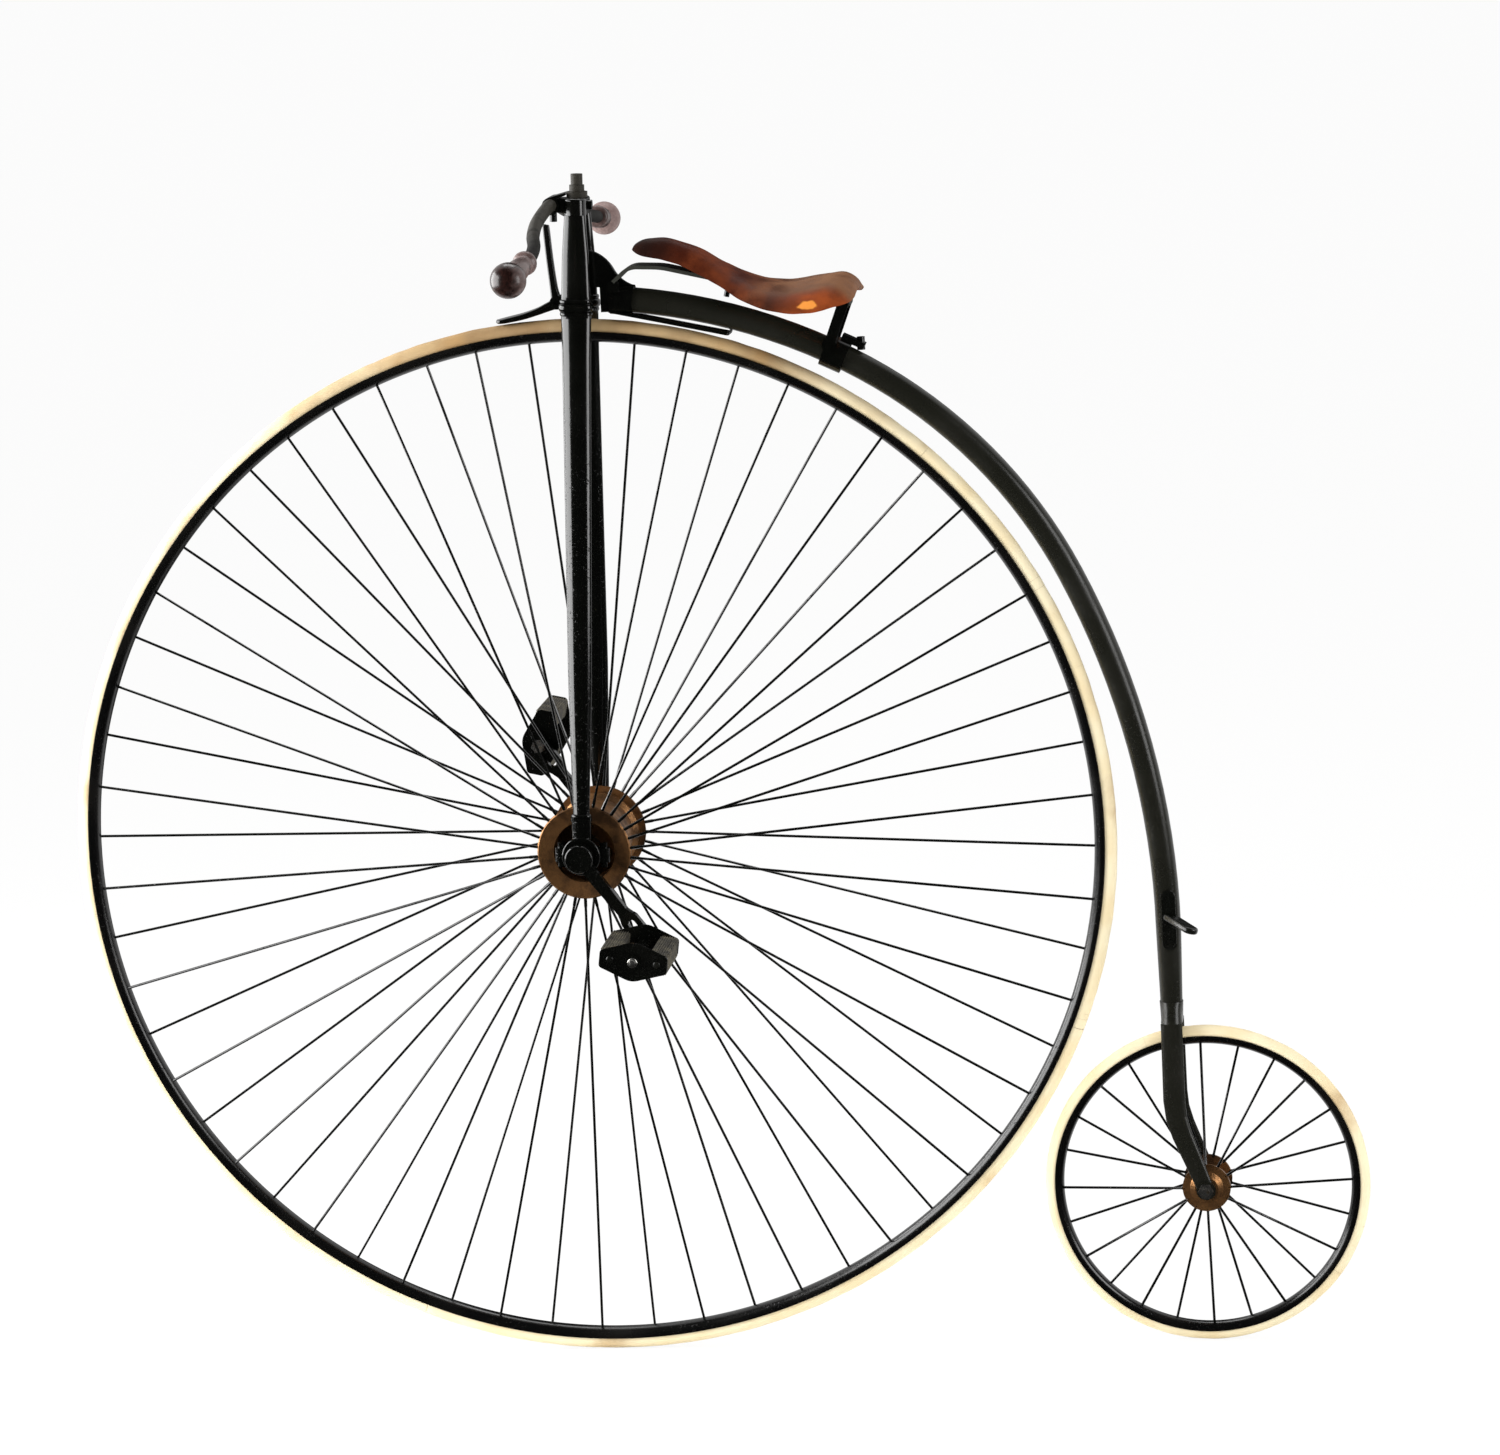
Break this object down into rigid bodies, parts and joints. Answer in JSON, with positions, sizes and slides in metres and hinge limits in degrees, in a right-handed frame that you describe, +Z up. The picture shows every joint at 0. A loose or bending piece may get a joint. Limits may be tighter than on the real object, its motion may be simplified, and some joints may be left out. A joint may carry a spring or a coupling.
{
  "type": "penny farthing bicycle",
  "caption": "High-wheel bicycle: a large spoked front wheel driven directly by cranks, a small rear wheel, a curved tubular backbone and a sprung leather saddle.",
  "frame": {"origin": "the point of the saddle's leather top where the rider sits, in the middle plane", "axes": "+X towards the rear wheel, +Y to the rider's right, +Z up"},
  "size_m": [1.6183, 0.7886, 1.4991],
  "materials": {
    "black_enamel": "gloss",
    "worn_enamel": "satin",
    "rim_black": "gloss",
    "tyre_rubber": "matt",
    "hub_brass": "satin",
    "bar_steel": "satin",
    "bright_steel": "polished",
    "grip_wood": "gloss",
    "saddle_leather": "worn satin",
    "pedal_rubber": "matt"
  },
  "bodies": {
    "frame": {"backbone": "black_enamel", "neck_lug": "black_enamel", "rear_fork_crown": "worn_enamel", "rear_fork_left": "worn_enamel", "rear_fork_right": "worn_enamel", "mounting_step": "worn_enamel", "leaf_spring": "black_enamel", "saddle_frame": "black_enamel", "saddle_clip": "black_enamel", "shackles": "black_enamel", "spring_clamp": "black_enamel", "saddle_leather": "saddle_leather", "guard_rods": "black_enamel", "rear_axle": "bright_steel", "rear_axle_nuts": "bright_steel"},
    "fork": {"fork_leg_left": "black_enamel", "fork_leg_right": "black_enamel", "fork_crown": "black_enamel", "head_side_left": "black_enamel", "head_side_right": "black_enamel", "head_cap": "black_enamel", "steering_bolt": "bar_steel", "handlebar_lug": "black_enamel", "handlebar": "bar_steel", "grip_left": "grip_wood", "grip_right": "grip_wood", "brake_spoon": "black_enamel", "bearing_left": "black_enamel", "bearing_right": "black_enamel"},
    "front_wheel": {"front_tyre": "tyre_rubber", "front_rim": "rim_black", "front_hub": "hub_brass", "front_axle": "bright_steel", "crank_left": "black_enamel", "crank_right": "black_enamel", "pedal_pin_left": "bright_steel", "pedal_pin_right": "bright_steel"},
    "pedal_left": {"pedal_plates_left": "black_enamel", "pedal_rubbers_left": "pedal_rubber"},
    "pedal_right": {"pedal_plates_right": "black_enamel", "pedal_rubbers_right": "pedal_rubber"},
    "rear_wheel": {"rear_tyre": "tyre_rubber", "rear_rim": "rim_black", "rear_hub": "hub_brass"}
  },
  "joints": [
    {"name": "steering", "type": "hinge", "parent": "frame", "child": "fork", "pos_m": [-0.286, 0, -0.6985], "axis": [0.0354, 0, 0.9994], "range_deg": [-25, 25]},
    {"name": "front_wheel_spin", "type": "hinge", "parent": "fork", "child": "front_wheel", "pos_m": [-0.286, 0, -0.6985], "axis": [0, 1, 0], "continuous": true},
    {"name": "rear_wheel_spin", "type": "hinge", "parent": "frame", "child": "rear_wheel", "pos_m": [0.46892, 0, -1.1557], "axis": [0, 1, 0], "continuous": true},
    {"name": "pedal_left_spin", "type": "hinge", "parent": "front_wheel", "child": "pedal_left", "pos_m": [-0.20748, 0, -0.80461], "axis": [0, 1, 0], "continuous": true},
    {"name": "pedal_right_spin", "type": "hinge", "parent": "front_wheel", "child": "pedal_right", "pos_m": [-0.36452, 0, -0.59239], "axis": [0, 1, 0], "continuous": true}
  ]
}
